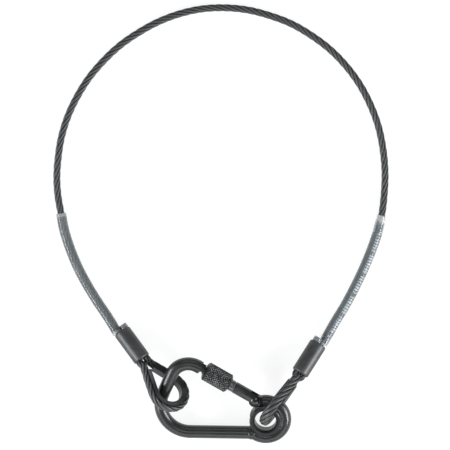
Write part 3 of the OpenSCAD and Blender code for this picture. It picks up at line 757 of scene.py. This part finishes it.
blade.scale = (bladeL, gate["bladeW"], gate["bladeT"])
bpy.ops.object.transform_apply(location=True, rotation=False, scale=True)
applyTool(blade, "BEVEL", width=gate["bladeBevel"], segments=2)
bpy.ops.object.select_all(action="DESELECT")
blade.select_set(True)
gatePiece.select_set(True)
bpy.context.view_layer.objects.active = gatePiece
bpy.ops.object.join()
setPiece(gatePiece, gateMatrix, gateFinish, "gate", "gate_steel", "gate")

# screw thread: one tooth drawn point by point, then wound up the shank
thread = {
    "pitch": 1.0, "crestR": 3.63, "rootR": 3.08, "rise": 0.4, "crestTo": 0.56, "rootFrom": 0.96,
    "early": 0.3245, "turns": 19, "steps": 30, "fade": 0.9, "joinGap": 0.001, "weld": 0.002,
}
crestR, rootR = thread["crestR"], thread["rootR"]
tooth = [
    (0, rootR), (thread["rise"], crestR), (thread["crestTo"], crestR), (thread["rootFrom"], rootR),
    (thread["pitch"], rootR),
]
bpy.ops.mesh.primitive_plane_add(size=1, location=(0, 0, 0))
threadPiece = bpy.context.object
threadPiece.name = threadPiece.data.name = "gateThread"
startEdit(threadPiece)
bpy.ops.mesh.merge(type="CENTER")
bpy.ops.transform.translate(value=(rootR, 0, 0))
for (along, r), (nextAlong, nextR) in zip(tooth, tooth[1:]):
    bpy.ops.mesh.extrude_region_move(TRANSFORM_OT_translate={"value": (nextR - r, 0, nextAlong - along)})
bpy.ops.object.mode_set(mode="OBJECT")
applyTool(
    threadPiece, "SCREW", axis="Z", angle=2 * math.pi, screw_offset=thread["pitch"],
    iterations=thread["turns"], steps=thread["steps"], render_steps=thread["steps"],
    use_merge_vertices=True, merge_threshold=thread["joinGap"],
)
threadStart = threadFrom - thread["early"]  # it begins under the shank's edge
threadEnd = threadTo - threadStart
# the last turn runs out to the root
for v in threadPiece.data.vertices:
    r = math.hypot(v.co.x, v.co.y)
    over = max(0, v.co.z - (threadEnd - thread["fade"])) / thread["fade"]
    k = (r - (r - rootR) * min(1, over)) / r
    v.co = (v.co.x * k, v.co.y * k, min(v.co.z, threadEnd))
startEdit(threadPiece)
bpy.ops.mesh.remove_doubles(threshold=thread["weld"])
bpy.ops.mesh.normals_make_consistent(inside=False)
bpy.ops.object.mode_set(mode="OBJECT")
threadPlace = gateMatrix @ Matrix.Translation((threadStart, 0, 0)) @ alongGate
setPiece(threadPiece, threadPlace, threadFinish, "gate", "gate_steel")

# rivet with domed heads
rivet = {
    "shaftR": 1.5, "headR": 2.4, "dome": 0.55, "edge": 0.1, "shoulder": 0.25, "shoulderPart": 0.93,
    "domeAngles": (0.75, 1.05, 1.3, 1.5), "sides": 40,
}
headR, dome = rivet["headR"], rivet["dome"]
headSide = [(0, headR - rivet["edge"]), (rivet["edge"], headR)]
headSide += [(rivet["shoulder"], headR * rivet["shoulderPart"])]
headSide += [(dome * math.sin(a), headR * math.cos(a)) for a in rivet["domeAngles"]]
rivetProfile = [(-gate["flat"] - along, r) for along, r in headSide[::-1]]
rivetProfile += [(-gate["flat"], rivet["shaftR"]), (gate["flat"], rivet["shaftR"])]
rivetProfile += [(gate["flat"] + along, r) for along, r in headSide]
rivetPiece = turnedPiece("hingeRivet", rivet["sides"], rivetProfile)
closeShell(rivetPiece)
setPiece(rivetPiece, gateMatrix, rivetFinish, "gate", "bright_steel", "gate_rivet")
print("gate, thread and rivet made")

# the frame's own pieces that keep their shape
keptFinishes = {
    "left_thimble": thimbleFinish, "right_thimble": thimbleFinish, "left_ferrule": leftFerruleFinish,
    "right_ferrule": rightFerruleFinish, "hook_body": hookFinish, "eye_ring": bushFinish,
    "latch_pin": pinFinish, "gate_plunger": steelFinish, "gate_spring": steelFinish,
}
for node, finish in keptFinishes.items():
    slots = frame["nodes"][node].material_slots
    if slots:
        for one in slots:
            one.material = finish
    else:
        frame["nodes"][node].data.materials.append(finish)

# floor and light
studio = {
    "floor": 2.4, "floorAt": (0, 0.06, -0.0004), "floorTone": 0.2, "floorRough": 0.7, "glow": 0.84,
    "world": 0.16, "lightTone": (0.95, 0.975, 1.0), "lightAim": (0, 0.05, 0),
}
bpy.ops.mesh.primitive_plane_add(size=studio["floor"], location=studio["floorAt"])
floor = bpy.context.object
floor.name = "paleFloor"
floorFinish, _, floorShader = newFinish("paleFloor")
floorShader.inputs["Base Color"].default_value = (*[studio["floorTone"]] * 3, 1)
floorShader.inputs["Roughness"].default_value = studio["floorRough"]
floorShader.inputs["Emission Color"].default_value = (1, 1, 1, 1)  # a light table, so the ground stays white
floorShader.inputs["Emission Strength"].default_value = studio["glow"]
floor.data.materials.append(floorFinish)
world = bpy.data.worlds.new("softStudio")
bpy.context.scene.world = world
world.use_nodes = True
world.node_tree.nodes["Background"].inputs["Color"].default_value = (1, 1, 1, 1)
world.node_tree.nodes["Background"].inputs["Strength"].default_value = studio["world"]
# name, place and size in metres, power in watts
softBoxes = [
    ("boxFront", (0.0, -0.95, 0.5), (1.5, 0.5), 5), ("boxBack", (0.0, 1.0, 0.8), (1.3, 0.3), 2),
    ("boxLeft", (-1.0, -0.3, 0.55), (1.0, 0.3), 14), ("boxRight", (1.0, -0.3, 0.55), (1.0, 0.3), 17),
    ("boxTop", (0.0, -0.15, 1.7), (0.9, 0.5), 3),
]
for name, at, (wide, high), power in softBoxes:
    bpy.ops.object.light_add(type="AREA", location=at)
    box = bpy.context.object
    box.name = name
    box.data.shape = "RECTANGLE"
    box.data.size, box.data.size_y = wide, high
    box.data.energy = power
    box.data.color = studio["lightTone"]
    aim = Vector(studio["lightAim"]) - Vector(at)
    box.rotation_mode = "QUATERNION"
    box.rotation_quaternion = aim.to_track_quat("-Z", "Y")
print("floor and lights set")
